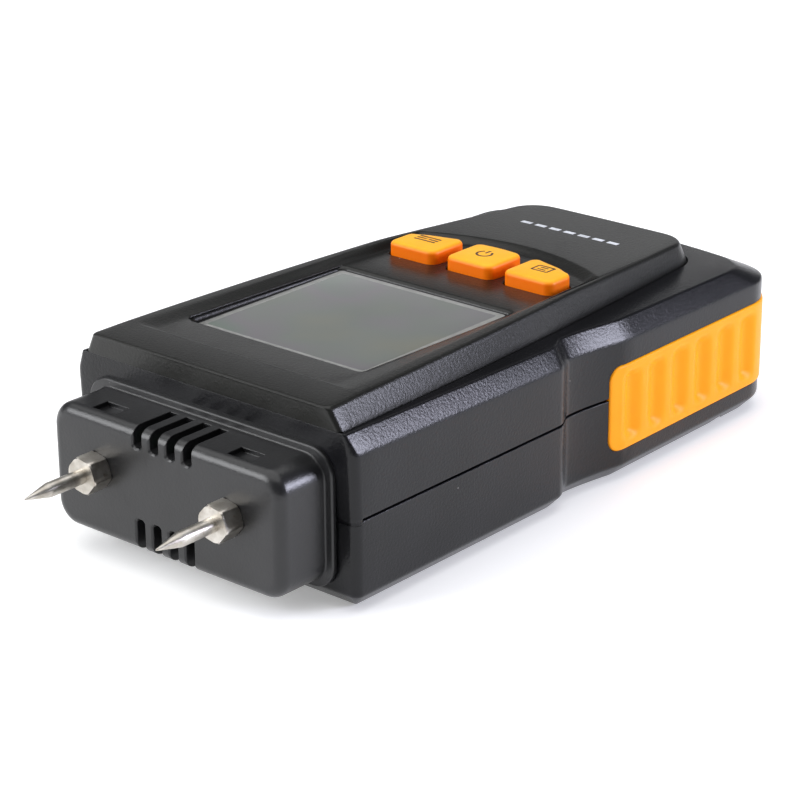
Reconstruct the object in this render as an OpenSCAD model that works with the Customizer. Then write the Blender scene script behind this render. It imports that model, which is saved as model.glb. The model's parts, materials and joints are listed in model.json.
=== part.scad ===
// Two-pin moisture meter, lying on its back with the display up.
// +Y points along the contact pins, +X to the side of the set key, +Z away from the display.
// Each sub-part is drawn with y = 0 at the front face of the case; placed() moves it to the
// origin, which is the middle of the base under the whole object.

/* [Case] */
// Width of the case over its front half
case_w = 60; // [58:0.5:64]
// Length of the case without the sensor head
case_len = 118; // [116:0.5:124]
// Height of the joint between the two shells
joint_z = 12.9; // [12.6:0.1:13.4]
// Wall thickness of the shells
wall = 2.2; // [2:0.1:2.4]
// Depth of the step where the handle begins
waist_step = 1.8; // [0.5:0.1:2.2]
// Radius of the case corners at the rear
rear_r = 9.5; // [8:0.5:11]
// Size of the bevel round the base
base_bevel = 2.8; // [1.5:0.1:3]

/* [Sensor head] */
// Width of the sensor head
head_w = 49.5; // [48:0.5:51]
// Distance that the sensor head stands out
head_out = 10.8; // [9:0.1:13]
// Top of the sensor head
head_top = 24.8; // [24.5:0.1:25.2]
// Underside of the sensor head
head_low = 3.9; // [3.5:0.1:4.2]
// Distance between the pin axes
pin_pitch = 28.4; // [27:0.1:30]
// Height of the pin axes
pin_z = 15.6; // [15:0.1:16]
// Width of one vent slot
vent_w = 1.8; // [1.2:0.1:2.2]
// Distance between vent slots
vent_pitch = 3.58; // [3.2:0.02:3.9]

/* [Contact pins] */
// Width across the flats of the hexagonal collar
hex_af = 5.5; // [5:0.1:6]
// Length of the hexagonal collar
hex_len = 3.7; // [3:0.1:5]
// Diameter of the needle
needle_d = 2.4; // [2:0.1:2.6]
// Length of the needle in front of the collar
needle_len = 11.7; // [9:0.1:16]
// Length of the needle's point
point_len = 4.8; // [3:0.1:6]

/* [Display] */
// Width of the display window
window_w = 37; // [36:0.5:37.5]
// Length of the display window
window_l = 36.2; // [35:0.1:36.5]
// Height of the window's outer surface
window_z = 31.6; // [31.5:0.1:31.8]

/* [Keys] */
// Distance that a key travels
key_travel = 0.8; // [0.4:0.1:0.8]
// Height of the key tops
key_top = 34.2; // [33.4:0.1:34.6]
// Gap round each key
key_gap = 0.3; // [0.25:0.05:0.5]

/* [Grips] */
// Distance between the grip flutes
flute_pitch = 7; // [6:0.1:8]
// Depth of the grip flutes
flute_depth = 0.7; // [0.3:0.1:0.8]

/* [Hidden] */
$fn = 48;
half_w = case_w / 2;
back_y = -case_len;
tip_y = head_out + hex_len + needle_len;
mid_y = (tip_y + back_y) / 2;
eps = 0.05;
big = 200;

// Case outline
front_r = 1.5;
rear_arc_r = 124;
step_y = -49.8;
step_len = 5;
handle_y = -68;
handle_in = 0.25;
tail_in = 0.7;

// Shoulder of the front shell: height falls a little towards the rear
bevel_z0 = 25.9;
shoulder_z0 = 29.3;
bevel_in = 1.8;
tail_slope = 6;
fall = 0.0133;
roof_z = 26.3;

// Raised face panel
panel_front = 0.8;
panel_back = -104.9;
panel_top = 33.05;
panel_wall_z = 30;
deck_y = -65;
deck_slope = 3;
dish_front = -7.5;
dish_half_w = 19.8;
dish_z = 32.75;
dish_fall = 1.01;
riser_y = -78;
riser_bow = 0.0148;

// Display stack, from the board up
board_z = 18.6;
board_t = 1.6;
board_top = board_z + board_t;
window_y = -33.15;
lcd_low = 28;
lcd_high = 30.5;
pocket_w = 40.6;
pocket_l = 41.2;
lip_z = 31;

// Keys
key_y0 = -62.5;
key_back = -72.2;
key_r = 1.6;
keys_x = [12.7, 0, -12.7];
key_ws = [10.4, 10, 10.4];
key_room_w = 39.6;
key_room_y0 = -60.4;
key_room_y1 = -74.4;
switch_body = 1.5;
switch_plunger = 0.8;
stem_low = board_top + switch_body + switch_plunger + key_travel + 0.1;

// Battery bay and cover
bay_w = 34;
bay_y0 = -52.5;
bay_y1 = -104.5;
bay_top = 14.1;
cell_r = 5.25;
cell_len = 43.5;
cell_z = 8.6;
cell_pitch = 11;
plate_t = 0.4;
bump_h = 1.6;
cover_w = 40;
cover_y0 = -50;
cover_t = 1.8;
rail_w = 1.5;
rail_t = 1;
slide_gap = 0.2;

// Screws
case_screw_r = 1.05;
case_screws = [[24.3, -9], [-24.3, -9], [24.8, -100], [-24.8, -100]];
board_screws = [[18, -9.4], [-18, -9.4], [17, -83], [-17, -83]];
pegs = [[22.4, -7], [-22.4, -7], [16.5, -92], [-16.5, -92]];

// Grips
grip_y0 = -64.5;
grip_z0 = 5.6;
grip_z1 = 20.9;
grip_proud = 0.3;
grip_depth = 0.9;
grip_r = 2.6;
grip_end_angle = -52;

// Pins and inserts
insert_r = 2.4;
stud_r = 1.5;
stud_len = 6;
hex_turn = 11;
insert_back = 1;

// ---------- outlines ----------

function arc(cx, cy, r, a0, a1, n) =
    [for (i = [0:n]) let (a = a0 + (a1 - a0) * i / n) [cx + r * cos(a), cy + r * sin(a)]];

function mirrored(half) = concat(half,
    [for (i = [len(half) - 1:-1:0]) if (half[i].x > eps) [-half[i].x, half[i].y]]);

// Half width of the case along the S-shaped step and the hollow behind it
function step_x(t) = half_w - waist_step * (1 - cos(180 * t)) / 2;
function hollow_x(t) = half_w - waist_step + (waist_step - handle_in) * (1 - cos(90 * t));

function tail_x() = half_w - tail_in;
function corner_y() = back_y + rear_arc_r
    - sqrt(pow(rear_arc_r - rear_r, 2) - pow(tail_x() - rear_r, 2));
function corner_end() = -atan2(rear_arc_r + back_y - corner_y(), tail_x() - rear_r);

// One side of the case outline, moved inwards by d, with its rear end pulled in by tail more
function case_half(d, tail = 0) = concat(
    let (c = max(front_r, d + 0.3)) arc(half_w - c, -c, c - d, 90, 0, 4),
    [for (i = [0:8]) [step_x(i / 8) - d, step_y - step_len * i / 8]],
    [for (i = [1:6]) let (y1 = step_y - step_len)
        [hollow_x(i / 6) - d, y1 + (handle_y - y1) * i / 6]],
    [[half_w - handle_in - d, -85]],
    arc(tail_x() - rear_r, corner_y() + tail, rear_r - d, 0, corner_end(), 10),
    [for (i = [1:5]) let (a = corner_end() + (-90 - corner_end()) * i / 5)
        [(rear_arc_r - d) * cos(a), back_y + tail + rear_arc_r + (rear_arc_r - d) * sin(a)]]
);

// One side of the panel outline: k is 0 at the foot and 1 at the top edge
function panel_x(y, k) = 27.3 - 2 * k + (0.02 * k - 0.04) * abs(y) - (0.00042 + 0.00013 * k) * y * y;
function panel_half(k) = let (yb = panel_back + 1.4 * k, r = 4.5 - 0.7 * k, yc = yb + r + 0.5,
        xc = panel_x(yc, k) - r) concat(
    [[panel_x(0, k) - 0.6, panel_front], [panel_x(0, k), panel_front - 0.6]],
    [for (i = [1:9]) let (y = yc * i / 9) [panel_x(y, k), y]],
    arc(xc, yc, r, -6, -84, 6),
    [for (i = [0:1]) [xc * (1 - i) * 0.7, yb + 0.1 * (1 - i)]]
);

// ---------- shared shapes ----------

module placed() {
    translate([0, -mid_y, 0]) children();
}

// Solid through rings of equal length, each a list of 3D points
module loft(rings) {
    n = len(rings[0]);
    m = len(rings);
    polyhedron(
        points = [for (ring = rings) for (p = ring) p],
        faces = concat(
            [[for (i = [n - 1:-1:0]) i]],
            [for (k = [0:m - 2]) for (i = [0:n - 1])
                [k * n + i, k * n + (i + 1) % n, (k + 1) * n + (i + 1) % n]],
            [for (k = [0:m - 2]) for (i = [0:n - 1])
                [k * n + i, (k + 1) * n + (i + 1) % n, (k + 1) * n + i]],
            [[for (i = [0:n - 1]) (m - 1) * n + i]]
        ),
        convexity = 10
    );
}

function ring(outline, z0, slope) = [for (p = outline) [p.x, p.y, z0 + slope * p.y]];

// Rounded rectangle as true cylinders and boxes, standing on z = 0
module round_slab(w, l, h, r) {
    for (sx = [-1, 1]) for (sy = [-1, 1])
        translate([sx * (w / 2 - r), sy * (l / 2 - r), 0]) cylinder(r = r, h = h);
    translate([-w / 2 + r, -l / 2, 0]) cube([w - 2 * r, l, h]);
    translate([-w / 2, -l / 2 + r, 0]) cube([w, l - 2 * r, h]);
}

module box(x0, x1, y0, y1, z0, z1) {
    translate([x0, y0, z0]) cube([x1 - x0, y1 - y0, z1 - z0]);
}

// Rod along +Y from y0 to y1
module y_rod(x, z, y0, y1, r) {
    translate([x, y0, z]) rotate([-90, 0, 0]) cylinder(r = r, h = y1 - y0);
}

// Slab with its rounded outline in XZ, from y0 to y1
module y_slab(w, z0, z1, y0, y1, r) {
    translate([0, y1, (z0 + z1) / 2]) rotate([90, 0, 0]) round_slab(w, z1 - z0, y1 - y0, r);
}

// Tube along a list of 3D points
function unit(v) = v / norm(v);
module tube(path, r, sides) {
    n = len(path);
    dirs = [for (i = [0:n - 1]) unit(path[min(i + 1, n - 1)] - path[max(i - 1, 0)])];
    rings = [for (i = [0:n - 1])
        let (u = unit(cross(dirs[i], [0.13, 0.21, 1])), v = cross(dirs[i], u))
        [for (k = [0:sides - 1]) path[i] + r * (cos(360 * k / sides) * u
            - sin(360 * k / sides) * v)]];
    loft(rings);
}

// ---------- shells ----------

module grip_shape(proud, spread) {
    z0 = grip_z0 - spread;
    z1 = grip_z1 + spread;
    outer = case_half(-proud);
    inner = case_half(grip_depth);
    intersection() {
        translate([0, 0, z0]) linear_extrude(z1 - z0)
            difference() {
                polygon(mirrored(outer));
                polygon(mirrored(inner));
            }
        // Side window with rounded front corners
        rotate([90, 0, 90]) linear_extrude(big)
            polygon(concat(
                arc(grip_y0 + spread - grip_r, z1 - grip_r, grip_r, 0, 90, 6),
                [[-big, z1], [-big, z0]],
                arc(grip_y0 + spread - grip_r, z0 + grip_r, grip_r, -90, 0, 6)));
        // End on the rear corner
        translate([tail_x() - rear_r, corner_y(), 0]) rotate([0, 0, grip_end_angle])
            translate([-big / 2, 0, -1]) cube([big, big, 60]);
    }
}

module boss_holes(list, r, z0, z1) {
    for (p = list) translate([p.x, p.y, z0]) cylinder(r = r, h = z1 - z0);
}

module rear_housing() color("#1b1c1e") placed() {
    difference() {
        union() {
            difference() {
                loft([
                    ring(mirrored(case_half(base_bevel + 0.5)), -0.5, 0),
                    ring(mirrored(case_half(0)), base_bevel, 0),
                    ring(mirrored(case_half(0)), joint_z - eps, 0)
                ]);
                // Hollow front half and side channels beside the battery bay
                translate([0, 0, wall]) linear_extrude(20)
                    intersection() {
                        polygon(mirrored(case_half(wall)));
                        translate([-big / 2, cover_y0 + 2]) square([big, 60]);
                    }
                translate([0, 0, wall + 2]) linear_extrude(20)
                    difference() {
                        polygon(mirrored(case_half(wall + 0.3)));
                        translate([-cover_w / 2 - 3.2, -big]) square([cover_w + 6.4, 2 * big]);
                    }
            }
            // Battery bay
            box(-bay_w / 2 - 1.5, bay_w / 2 + 1.5, bay_y1 - 1.5, bay_y0 + 1.5, 2, bay_top + 1.2);
            boss_holes(case_screws, 3.2, 1, joint_z - eps);
        }
        box(-big, big, -big, big, -10, 0);
        box(-bay_w / 2, bay_w / 2, bay_y1, bay_y0, -1, bay_top);
        // Way for the cover and its rails
        box(-cover_w / 2 - slide_gap, cover_w / 2 + slide_gap, -big, cover_y0 + slide_gap,
            -1, cover_t + 0.1);
        box(-cover_w / 2 - rail_w - slide_gap, cover_w / 2 + rail_w + slide_gap,
            -big, cover_y0 + slide_gap, cover_t - slide_gap, cover_t + rail_t + slide_gap);
        head_opening();
        for (side = [0, 1]) mirror([side, 0, 0]) grip_shape(2, 0.05);
        boss_holes(case_screws, 1.35, -1, 20);
        boss_holes(case_screws, 2.9, -1, 3);
        // Slots for the two ends of the battery leads
        box(-13, -9, bay_y0 - 1, bay_y0 - 0.2, bay_top - 1, 20);
        box(9, 13, bay_y1 + 0.2, bay_y1 + 1, bay_top - 1, 20);
    }
}

module head_opening() {
    y_slab(head_w - 3, 6, 23.6, -8, 5, 3);
}

module front_housing() color("#1b1c1e") placed() {
    difference() {
        union() {
            difference() {
                loft([
                    ring(mirrored(case_half(0)), joint_z + eps, 0),
                    ring(mirrored(case_half(0)), bevel_z0, fall),
                    ring(mirrored(case_half(bevel_in, tail_slope)), shoulder_z0, fall)
                ]);
                linear_extrude(roof_z)
                    polygon(mirrored(case_half(wall)));
            }
            boss_holes(case_screws, 3.2, joint_z + eps, roof_z + 0.5);
            boss_holes(board_screws, 2.3, board_top, roof_z + 0.5);
        }
        head_opening();
        // Openings in the roof for the display and the keys
        box(-pocket_w / 2, pocket_w / 2, window_y - pocket_l / 2, window_y + pocket_l / 2, 20.5, 40);
        box(-key_room_w / 2, key_room_w / 2, key_room_y1, key_room_y0, 20.5, 40);
        for (side = [0, 1]) mirror([side, 0, 0]) grip_shape(2, 0.05);
        boss_holes(case_screws, case_screw_r, 10, 22);
        boss_holes(board_screws, 0.75, 10, 25);
        boss_holes(pegs, 1.55, 20, 40);
    }
}

module face_panel() color("#202123") placed() {
    difference() {
        union() {
            loft([
                ring(mirrored(panel_half(0)), shoulder_z0 + eps, fall),
                ring(mirrored(panel_half(0)), shoulder_z0 + 0.7, fall),
                ring(mirrored(panel_half(1.3)), panel_top + 1, 0)
            ]);
            boss_holes(pegs, 1.5, 25, 30);
        }
        translate([-big / 2, -big, panel_top]) cube([big, 1.5 * big, 20]);
        // Rear deck falls towards the back
        translate([0, deck_y, panel_top]) rotate([deck_slope, 0, 0])
            translate([-big / 2, -big, 0]) cube([big, 1.5 * big, 20]);
        dish();
        // Display window and the pocket for the display under it
        box(-window_w / 2 - eps, window_w / 2 + eps, window_y - window_l / 2 - eps,
            window_y + window_l / 2 + eps, 20, 40);
        box(-pocket_w / 2, pocket_w / 2, window_y - pocket_l / 2, window_y + pocket_l / 2, 20, lip_z);
        box(-key_room_w / 2, key_room_w / 2, key_room_y1, key_room_y0, 20, panel_wall_z);
        for (i = [0:2]) translate([0, 0, 20]) linear_extrude(20) key_outline(i, key_gap);
        // Lightening pocket under the deck
        box(-13, 13, -100, -78, 20, 29.4);
    }
}

// Shallow dish round the display and the keys: its floor falls to the rear, where a curved
// riser closes it
module dish() {
    side = concat([[dish_half_w, dish_front]],
        [for (i = [0:6]) let (x = dish_half_w * (1 - i / 6.5)) [x, riser_y + riser_bow * x * x]]);
    intersection() {
        translate([0, 0, 25]) linear_extrude(20) polygon(mirrored(side));
        translate([0, dish_front, dish_z]) rotate([dish_fall, 0, 0])
            translate([-big / 2, -big, 0]) cube([big, 1.5 * big, 30]);
    }
}

// ---------- sensor head ----------

module head_slice(y, inset, r) {
    y_slab(head_w - 2 * inset, head_low + inset, head_top - inset, y - 0.02, y, r);
}

module sensor_head() color("#1d1e20") placed() {
    difference() {
        union() {
            hull() {
                $fn = 32;
                head_slice(0.4, 0, 4);
                head_slice(head_out - 2, 0, 4);
                head_slice(head_out - 0.8, 0.5, 3.7);
                head_slice(head_out - 0.2, 1.2, 3.2);
                head_slice(head_out, 1.9, 2.8);
            }
            y_slab(head_w + 2.9, head_low - 0.9, head_top + 1.3, eps, 1.9, 5);
            y_slab(head_w - 3.4, 6.2, 23.4, -6, 1, 2.8);
        }
        // Hollow inside, with a solid block round each insert
        difference() {
            y_slab(head_w - 7.4, 8, 21.6, -7, head_out - 2.2, 2);
            for (side = [-1, 1]) y_rod(side * pin_pitch / 2, pin_z, 0, head_out, insert_r + 1.4);
        }
        for (side = [-1, 1]) {
            y_rod(side * pin_pitch / 2, pin_z, -1, head_out + 1, insert_r);
            // Detent pocket for a cap
            box(side * 14.4 - 2.4, side * 14.4 + 2.4, 5.6, 8.9, head_top - 0.8, 30);
        }
        for (i = [-1.5:1:1.5]) {
            x = i * vent_pitch;
            box(x - vent_w / 2, x + vent_w / 2, 2.6, 20, 21.3, 30);
            box(x - vent_w / 2, x + vent_w / 2, 2.6, 20, 0, 9.4);
        }
    }
}

module contact_pin(side) color("#b9b2a4") placed() translate([side * pin_pitch / 2, 0, pin_z]) {
    hex_y = head_out + eps;
    cone_y = tip_y - point_len;
    rotate([-90, 0, 0]) {
        translate([0, 0, hex_y]) rotate([0, 0, -hex_turn])
            cylinder(d = hex_af / cos(30), h = hex_len - eps, $fn = 6);
        translate([0, 0, hex_y + 1]) cylinder(d = needle_d, h = cone_y - hex_y - 1);
        translate([0, 0, cone_y]) cylinder(d1 = needle_d, d2 = 0.3, h = point_len);
        translate([0, 0, hex_y - stud_len]) cylinder(r = stud_r - eps, h = stud_len + 1);
    }
}

module left_pin() contact_pin(-1);
module right_pin() contact_pin(1);

module pin_inserts() color("#b08d4c") placed() {
    for (side = [-1, 1]) difference() {
        y_rod(side * pin_pitch / 2, pin_z, insert_back, head_out, insert_r);
        y_rod(side * pin_pitch / 2, pin_z, head_out - stud_len - 1, head_out + 1, stud_r);
    }
}

module pin_leads() color("#c8a23c") placed() {
    for (side = [-1, 1]) translate([side * pin_pitch / 2, 0, 0]) {
        y_rod(0, pin_z, -11, insert_back, 0.6);
        translate([0, -11, pin_z]) sphere(r = 0.6);
        translate([0, -11, pin_z]) cylinder(r = 0.6, h = board_z - pin_z);
    }
}

// ---------- display ----------

module display_window() color("#7d8078", 0.5) placed() translate([0, window_y, 0]) {
    translate([0, 0, lip_z - 0.4]) linear_extrude(0.4) square([window_w + 2, window_l + 2], center = true);
    translate([0, 0, lip_z - 0.1]) linear_extrude(window_z - lip_z + 0.1)
        square([window_w, window_l], center = true);
}

module lcd_panel() color("#8d9188") placed() translate([0, window_y, lcd_low]) {
    linear_extrude(lcd_high - lcd_low) square([pocket_w - 0.8, pocket_l - 0.8], center = true);
}

module display_frame() color("#e4e4de") placed() translate([0, window_y, board_top]) {
    difference() {
        linear_extrude(lcd_low - board_top) square([pocket_w - 0.8, pocket_l - 0.8], center = true);
        translate([0, 0, -1]) linear_extrude(20)
            square([pocket_w - 3.8, pocket_l - 3.8], center = true);
    }
}

module backlight() color("#f2f2ea") placed() translate([0, window_y, lcd_low - 1.6]) {
    linear_extrude(1.5) square([pocket_w - 4, pocket_l - 9], center = true);
}

module zebra_strips() color("#d9a0a8") placed() {
    for (side = [-1, 1]) translate([0, window_y + side * (pocket_l / 2 - 3.1), board_top])
        linear_extrude(lcd_low - board_top) square([34, 2], center = true);
}

// ---------- electronics ----------

module main_board() color("#2d6b3f") placed() {
    difference() {
        union() {
            box(-20.6, 20.6, -87, -7.5, board_z, board_top);
            // Tongue that carries the air sensor into the head
            box(-8, 8, -8, 5, board_z, board_top);
        }
        boss_holes(board_screws, 1.1, 10, 30);
    }
}

module board_chips() color("#17181a") placed() {
    translate([0, -30, board_z - 1.5]) linear_extrude(1.5) square([12, 12], center = true);
    translate([-11, -43, board_z - 1.5]) linear_extrude(1.5) square([5, 6], center = true);
    translate([11, -43, board_z - 1.5]) linear_extrude(1.5) square([5, 6], center = true);
}

module air_sensor() color("#e8e8e4") placed() {
    box(-1.5, 1.5, 1, 4, board_top, board_top + 1);
}

module key_switches() color("#26272a") placed() {
    for (x = keys_x) translate([x, (key_y0 + key_back) / 2, board_top]) {
        linear_extrude(switch_body) square([6, 6], center = true);
        translate([0, 0, switch_body - 0.1]) cylinder(r = 1.7, h = switch_plunger + 0.1);
    }
}

module buzzer() color("#141516") placed() translate([0, -80, board_top]) {
    difference() {
        cylinder(r = 5, h = 4.2);
        translate([0, 0, 3.4]) cylinder(r = 1, h = 2);
    }
}

// ---------- keys ----------

function key_back_y(x) = key_back + x * x / 98;

module key_outline(i, grow) {
    x0 = keys_x[i] - key_ws[i] / 2 - grow;
    x1 = keys_x[i] + key_ws[i] / 2 + grow;
    r = key_r + grow;
    y1 = key_y0 + grow;
    polygon(concat(
        arc(x1 - r, y1 - r, r, 0, 90, 5),
        arc(x0 + r, y1 - r, r, 90, 180, 5),
        arc(x0 + r, key_back_y(x0) - grow + r, r, 180, 265, 5),
        [for (k = [1:3]) let (x = x0 + (x1 - x0) * k / 4) [x, key_back_y(x) - grow]],
        arc(x1 - r, key_back_y(x1) - grow + r, r, 275, 360, 5)
    ));
}

module key(i) color("#f59a1f") placed() {
    hull() {
        translate([0, 0, panel_wall_z - 0.6]) linear_extrude(key_top - panel_wall_z - 0.3)
            key_outline(i, 0);
        translate([0, 0, key_top - 0.35]) linear_extrude(0.05) key_outline(i, -0.3);
        translate([0, 0, key_top - 0.01]) linear_extrude(0.01) key_outline(i, -0.9);
    }
    translate([0, 0, panel_wall_z - 1.1]) linear_extrude(1) key_outline(i, 0.9);
    translate([keys_x[i], (key_y0 + key_back) / 2, stem_low])
        cylinder(r = 1.8, h = panel_wall_z - 1 - stem_low);
}

module set_key() key(0);
module power_key() key(1);
module menu_key() key(2);

// ---------- battery ----------

module battery_cover() color("#1b1c1e") placed() {
    difference() {
        union() {
            intersection() {
                loft([
                    ring(mirrored(case_half(base_bevel + 0.5)), -0.5, 0),
                    ring(mirrored(case_half(0)), base_bevel, 0),
                    ring(mirrored(case_half(0)), 8, 0)
                ]);
                union() {
                    box(-cover_w / 2, cover_w / 2, -big, cover_y0, 0, cover_t + eps);
                    box(-cover_w / 2 - rail_w, cover_w / 2 + rail_w, -big, cover_y0,
                        cover_t, cover_t + rail_t);
                }
            }
        }
        // Thumb ribs
        for (i = [0:5]) box(-8, 8, -60 - 2.2 * i, -59 - 2.2 * i, -1, 0.5);
    }
}

function cell_dir(i) = i % 2 == 0 ? 1 : -1;

module battery_cells() color("#3b5f8a") placed() {
    mid = (bay_y0 + bay_y1) / 2;
    for (i = [0:2]) translate([(i - 1) * cell_pitch, mid, cell_z]) mirror([0, cell_dir(i) < 0 ? 1 : 0, 0]) {
        top = (bay_y0 - bay_y1) / 2 - plate_t - bump_h - 0.1;
        y_rod(0, 0, top - 1 - cell_len, top - 1, cell_r);
        y_rod(0, 0, top - 1.2, top, 1.9);
    }
}

module contact_plates() color("#c9c6bd") placed() {
    mid = (bay_y0 + bay_y1) / 2;
    half = (bay_y0 - bay_y1) / 2;
    for (i = [0:2]) translate([(i - 1) * cell_pitch, mid, cell_z]) mirror([0, cell_dir(i) < 0 ? 1 : 0, 0]) {
        translate([-4, half - plate_t - 0.05, -4]) cube([8, plate_t, 8]);
        y_rod(0, 0, half - plate_t - bump_h, half - plate_t + 0.1, 1.6);
        translate([-4, -half + 0.05, -4]) cube([8, plate_t, 8]);
    }
}

module battery_springs() color("#d5d2ca") placed() {
    mid = (bay_y0 + bay_y1) / 2;
    half = (bay_y0 - bay_y1) / 2;
    turns = 4;
    steps = 10;
    low = -half + plate_t + 0.4;
    high = half - plate_t - bump_h - 1.1 - cell_len - 0.4;
    for (i = [0:2]) translate([(i - 1) * cell_pitch, mid, cell_z]) mirror([0, cell_dir(i) < 0 ? 1 : 0, 0])
        tube([for (k = [0:turns * steps]) let (t = k / (turns * steps), r = 3.8 - 1.4 * t)
            [r * cos(360 * k / steps), low + (high - low) * t, r * sin(360 * k / steps)]], 0.35, 6);
}

module power_leads() color("#b3261e") placed() {
    translate([-11, bay_y0 - 0.6, bay_top - 0.9]) cylinder(r = 0.35, h = board_z - bay_top + 0.9);
    translate([11, bay_y1 + 0.6, bay_top - 0.9]) cylinder(r = 0.35, h = 3);
    translate([11, bay_y1 + 0.6, bay_top + 2.1]) sphere(r = 0.35);
    y_rod(11, bay_top + 2.1, bay_y1 + 0.6, -84, 0.35);
    translate([11, -84, bay_top + 2.1]) sphere(r = 0.35);
    translate([11, -84, bay_top + 2.1]) cylinder(r = 0.35, h = board_z - bay_top - 2.1);
}

// ---------- grips and screws ----------

module grip(side) color("#f7a128") placed() mirror([side < 0 ? 1 : 0, 0, 0]) {
    flute_r = 3;
    difference() {
        grip_shape(grip_proud, 0);
        for (i = [0:4]) {
            y = grip_y0 - 5.5 - i * flute_pitch;
            x = half_w - handle_in + grip_proud - flute_depth + flute_r
                - (tail_in - handle_in) * max(0, -85 - y) / 22;
            translate([x, y, grip_z0 + 2.4]) cylinder(r = flute_r, h = grip_z1 - grip_z0 - 4.8);
        }
    }
}

module right_grip() grip(1);
module left_grip() grip(-1);

module case_screws() color("#3a3b3d") placed() {
    for (p = case_screws) translate([p.x, p.y, 0]) difference() {
        union() {
            translate([0, 0, 1.4]) cylinder(r = 2.6, h = 1.6);
            translate([0, 0, 2.9]) cylinder(r = case_screw_r - 0.03, h = 17);
        }
        for (a = [0, 90]) rotate([0, 0, a]) translate([-1.6, -0.3, 1]) cube([3.2, 0.6, 1.2]);
    }
}

module board_screws_set() color("#b8b8b4") placed() {
    for (p = board_screws) translate([p.x, p.y, 0]) difference() {
        union() {
            translate([0, 0, board_z - 1.2]) cylinder(r = 1.9, h = 1.2);
            translate([0, 0, board_z - 0.1]) cylinder(r = 0.72, h = 5.6);
        }
        for (a = [0, 90]) rotate([0, 0, a]) translate([-1.2, -0.2, board_z - 2]) cube([2.4, 0.4, 1.5]);
    }
}

rear_housing();
front_housing();
face_panel();
sensor_head();
left_grip();
right_grip();
left_pin();
right_pin();
pin_inserts();
pin_leads();
display_window();
lcd_panel();
display_frame();
backlight();
zebra_strips();
main_board();
board_chips();
air_sensor();
key_switches();
buzzer();
set_key();
power_key();
menu_key();
battery_cover();
battery_cells();
battery_springs();
contact_plates();
power_leads();
case_screws();
board_screws_set();
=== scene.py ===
"""Two-pin moisture meter: detailed shells, panel, keys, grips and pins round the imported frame."""
import json
import math

import bmesh
import bpy
import numpy as np
from mathutils import Matrix, Vector

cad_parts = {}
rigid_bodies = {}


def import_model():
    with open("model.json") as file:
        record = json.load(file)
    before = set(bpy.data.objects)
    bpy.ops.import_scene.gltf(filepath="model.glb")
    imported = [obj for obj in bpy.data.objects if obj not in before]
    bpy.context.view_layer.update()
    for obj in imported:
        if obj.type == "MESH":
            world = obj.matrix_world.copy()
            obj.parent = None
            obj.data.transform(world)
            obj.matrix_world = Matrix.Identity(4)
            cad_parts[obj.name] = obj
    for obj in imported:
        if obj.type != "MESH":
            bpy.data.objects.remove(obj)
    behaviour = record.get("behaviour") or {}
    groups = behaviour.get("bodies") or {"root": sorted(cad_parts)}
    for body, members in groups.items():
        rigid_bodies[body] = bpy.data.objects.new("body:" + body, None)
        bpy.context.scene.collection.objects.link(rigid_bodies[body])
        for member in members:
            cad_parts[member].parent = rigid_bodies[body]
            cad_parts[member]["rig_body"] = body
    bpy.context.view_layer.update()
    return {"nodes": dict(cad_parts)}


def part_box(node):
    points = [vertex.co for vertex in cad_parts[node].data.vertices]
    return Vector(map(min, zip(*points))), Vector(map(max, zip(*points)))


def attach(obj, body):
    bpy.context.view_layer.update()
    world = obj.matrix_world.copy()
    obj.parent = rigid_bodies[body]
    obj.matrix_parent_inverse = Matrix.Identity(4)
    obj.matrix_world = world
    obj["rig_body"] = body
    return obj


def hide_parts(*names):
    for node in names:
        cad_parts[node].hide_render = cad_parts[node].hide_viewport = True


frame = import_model()
MM = 0.001


def node_box(node):
    """Lowest and highest corner of a CAD node in millimetres."""
    low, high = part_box(node)
    return np.array(low) / MM, np.array(high) / MM


# Case coordinates: millimetres, y = 0 at the front face of the case, z = 0 at the base
CASE_LOW, CASE_HIGH = node_box("rear_housing")
FRONT_Y = CASE_HIGH[1]
HALF_W = CASE_HIGH[0]
BACK_Y = CASE_LOW[1] - FRONT_Y
JOINT_Z = CASE_HIGH[2] + 0.05
HEAD_LOW, HEAD_HIGH = node_box("sensor_head")
HEAD_OUT = HEAD_HIGH[1] - FRONT_Y
PIN_LOW, PIN_HIGH = node_box("right_pin")
PIN_X = (PIN_LOW[0] + PIN_HIGH[0]) / 2
PIN_Z = (PIN_LOW[2] + PIN_HIGH[2]) / 2
PIN_TIP = PIN_HIGH[1] - FRONT_Y
WINDOW_LOW, WINDOW_HIGH = node_box("display_window")
GRIP_LOW, GRIP_HIGH = node_box("right_grip")

# Case outline
FRONT_R = 1.5
REAR_R = 9.5
REAR_ARC_R = 124.0
STEP_Y = -49.8
STEP_LEN = 5.0
STEP_IN = 1.8
HANDLE_Y = -68.0
HANDLE_IN = 0.25
TAIL_IN = 0.7
BASE_BEVEL = 2.8
WALL = 2.2
JOINT_GAP = 0.19
PANEL_GAP = 0.3
LIP_IN = 0.5
EDGE_IN = 0.08
EDGE_RISE = 0.1
SCREW_PLACES = ((24.3, -9), (-24.3, -9), (24.8, -100), (-24.8, -100))
SCREW_HOLE_R = 2.9
BATTERY_BAY = (-17, 17, -104.5, -52.5, -1, 14.1)

# Heights and slopes of the shells; the extra rings keep the faces round the grip pockets short
FALL = 0.0133
BEVEL_Z = 25.9
BEVEL_IN = 1.8
RIDGE_Z = 29.3
TAIL_SLOPE = 6.0
FRONT_LEAN = 0.5
UPPER_HEIGHTS = (14.5, 16.5, 18.5, 20.5, 22.0, 23.5, 24.6)
LOWER_HEIGHTS = (11.0, 9.5, 8.0, 6.5)
LOWER_TURN_Z = 5.4
SEAT_DEPTH = 0.7
ROOF_Z = 26.3

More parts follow.
